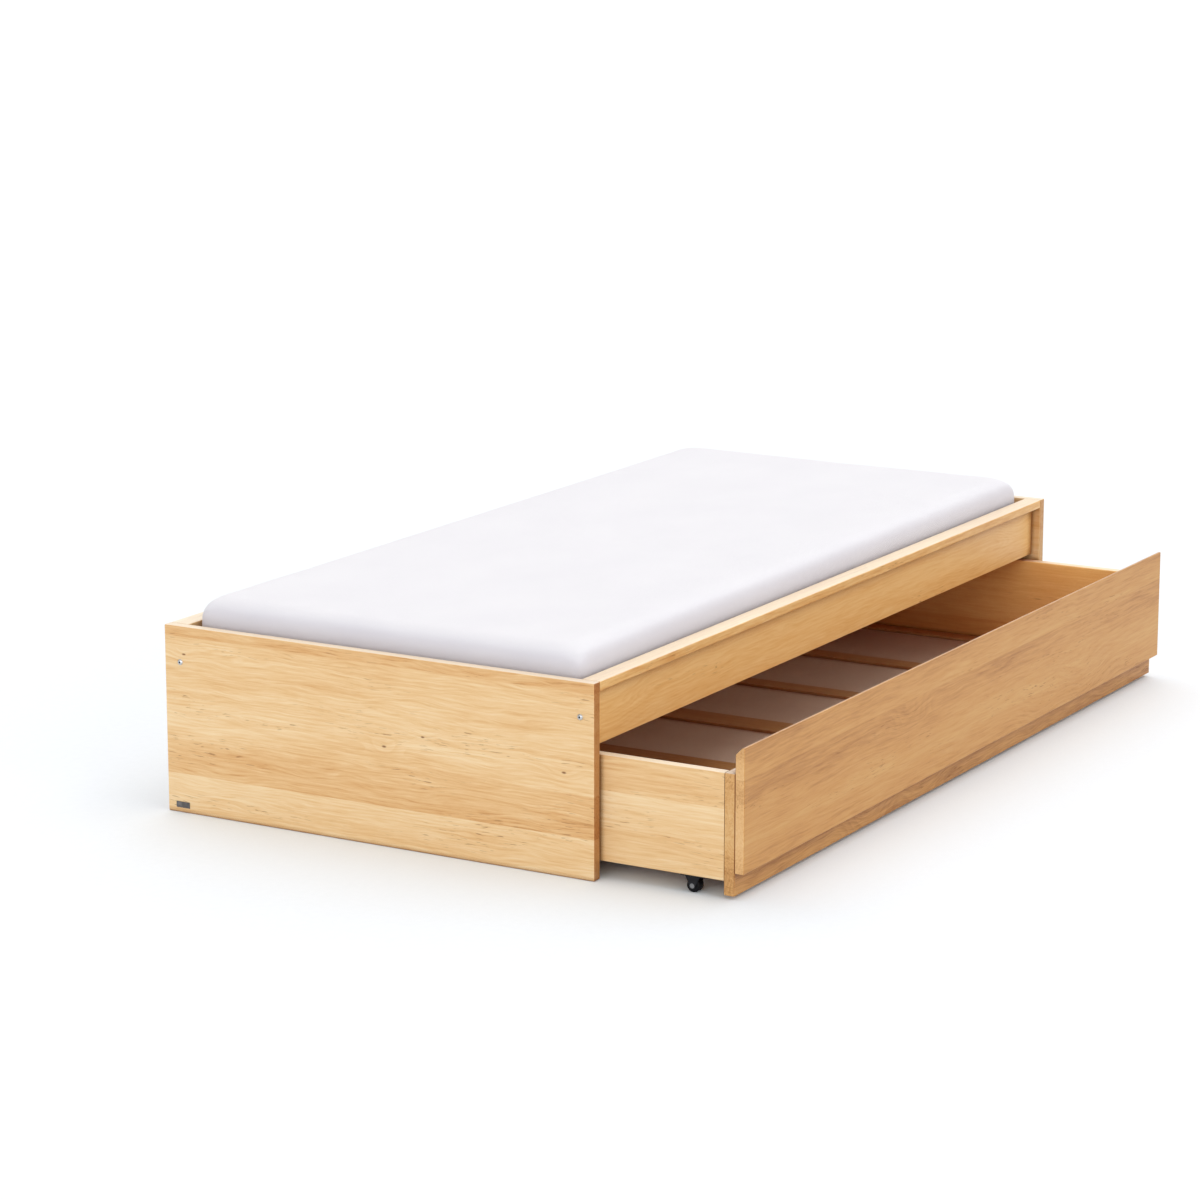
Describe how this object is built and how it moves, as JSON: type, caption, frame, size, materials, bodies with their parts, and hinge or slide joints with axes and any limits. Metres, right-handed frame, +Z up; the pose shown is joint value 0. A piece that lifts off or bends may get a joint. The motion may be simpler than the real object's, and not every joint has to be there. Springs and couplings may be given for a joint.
{
  "type": "platform bed with storage drawer",
  "caption": "Low single bed: wooden end panels, long rails with cap strips, slatted base and mattress, over one full-length rolling storage drawer on castors.",
  "frame": {"origin": "on the floor, at the middle of the whole outline seen from above, with the drawer 300 mm out as in the rest pose", "axes": "+X along the bed's length from foot panel to head panel, +Y from the drawer's front towards the back of the bed, +Z up"},
  "size_m": [2.0652, 1.28, 0.433],
  "materials": {
    "alder_frame": "satin oiled solid alder, edge-glued staves",
    "alder_drawer": "satin oiled solid alder, edge-glued staves",
    "slat_wood": "planed, unfinished softwood",
    "hardboard": "grey-white lacquered hardboard",
    "dowel_wood": "fluted beech dowel",
    "zinc_steel": "bright zinc plate",
    "screw_steel": "yellow zinc plate",
    "fork_plastic": "fine matt grain",
    "wheel_tyre": "smooth hard rubber",
    "mattress_cover": "smooth white cotton cover",
    "webbing": "woven tape",
    "plate_metal": "satin dark grey, blank"
  },
  "bodies": {
    "bed": {"foot_panel": "alder_frame", "head_panel": "alder_frame", "front_rail": "alder_frame", "rear_rail": "alder_frame", "front_cap": "alder_frame", "rear_cap": "alder_frame", "front_ledge": "slat_wood", "rear_ledge": "slat_wood", "slat_01": "slat_wood", "slat_02": "slat_wood", "slat_03": "slat_wood", "slat_04": "slat_wood", "slat_05": "slat_wood", "slat_06": "slat_wood", "slat_07": "slat_wood", "slat_08": "slat_wood", "slat_09": "slat_wood", "slat_10": "slat_wood", "slat_11": "slat_wood", "slat_12": "slat_wood", "slat_tapes": "webbing", "mattress": "mattress_cover", "label_plate": "plate_metal", "bed_bolts": "zinc_steel", "barrel_nuts": "zinc_steel", "rail_dowels": "dowel_wood", "ledge_screws": "screw_steel", "slat_screws": "screw_steel"},
    "drawer": {"drawer_face": "alder_drawer", "drawer_front_board": "alder_drawer", "drawer_back_board": "alder_drawer", "drawer_side_foot": "alder_drawer", "drawer_side_head": "alder_drawer", "drawer_batten_1": "alder_drawer", "drawer_batten_2": "alder_drawer", "drawer_batten_3": "alder_drawer", "drawer_batten_4": "alder_drawer", "drawer_batten_5": "alder_drawer", "drawer_batten_6": "alder_drawer", "drawer_batten_7": "alder_drawer", "drawer_panel_1": "hardboard", "drawer_panel_2": "hardboard", "drawer_panel_3": "hardboard", "drawer_panel_4": "hardboard", "drawer_panel_5": "hardboard", "drawer_panel_6": "hardboard", "drawer_dowels": "dowel_wood", "face_screws": "screw_steel", "castor_bracket_foot_front": "fork_plastic", "castor_bracket_foot_back": "fork_plastic", "castor_bracket_head_front": "fork_plastic", "castor_bracket_head_back": "fork_plastic", "castor_axles": "zinc_steel", "castor_screws": "zinc_steel"},
    "wheel_foot_front": {"castor_wheel_foot_front": "wheel_tyre"},
    "wheel_foot_back": {"castor_wheel_foot_back": "wheel_tyre"},
    "wheel_head_front": {"castor_wheel_head_front": "wheel_tyre"},
    "wheel_head_back": {"castor_wheel_head_back": "wheel_tyre"}
  },
  "joints": [
    {"name": "drawer_slide", "type": "slide", "parent": "bed", "child": "drawer", "axis": [0, -1, 0], "range_m": [-0.3, 0.6]},
    {"name": "spin_foot_front", "type": "hinge", "parent": "drawer", "child": "wheel_foot_front", "pos_m": [-0.9845, -0.53, 0.013], "axis": [1, 0, 0], "continuous": true},
    {"name": "spin_foot_back", "type": "hinge", "parent": "drawer", "child": "wheel_foot_back", "pos_m": [-0.9845, 0.19, 0.013], "axis": [1, 0, 0], "continuous": true},
    {"name": "spin_head_front", "type": "hinge", "parent": "drawer", "child": "wheel_head_front", "pos_m": [0.9845, -0.53, 0.013], "axis": [1, 0, 0], "continuous": true},
    {"name": "spin_head_back", "type": "hinge", "parent": "drawer", "child": "wheel_head_back", "pos_m": [0.9845, 0.19, 0.013], "axis": [1, 0, 0], "continuous": true}
  ],
  "couplings": [
    {"joint": "spin_foot_front", "follows": "drawer_slide", "rad_per_m": 76.923},
    {"joint": "spin_foot_back", "follows": "drawer_slide", "rad_per_m": 76.923},
    {"joint": "spin_head_front", "follows": "drawer_slide", "rad_per_m": 76.923},
    {"joint": "spin_head_back", "follows": "drawer_slide", "rad_per_m": 76.923}
  ]
}
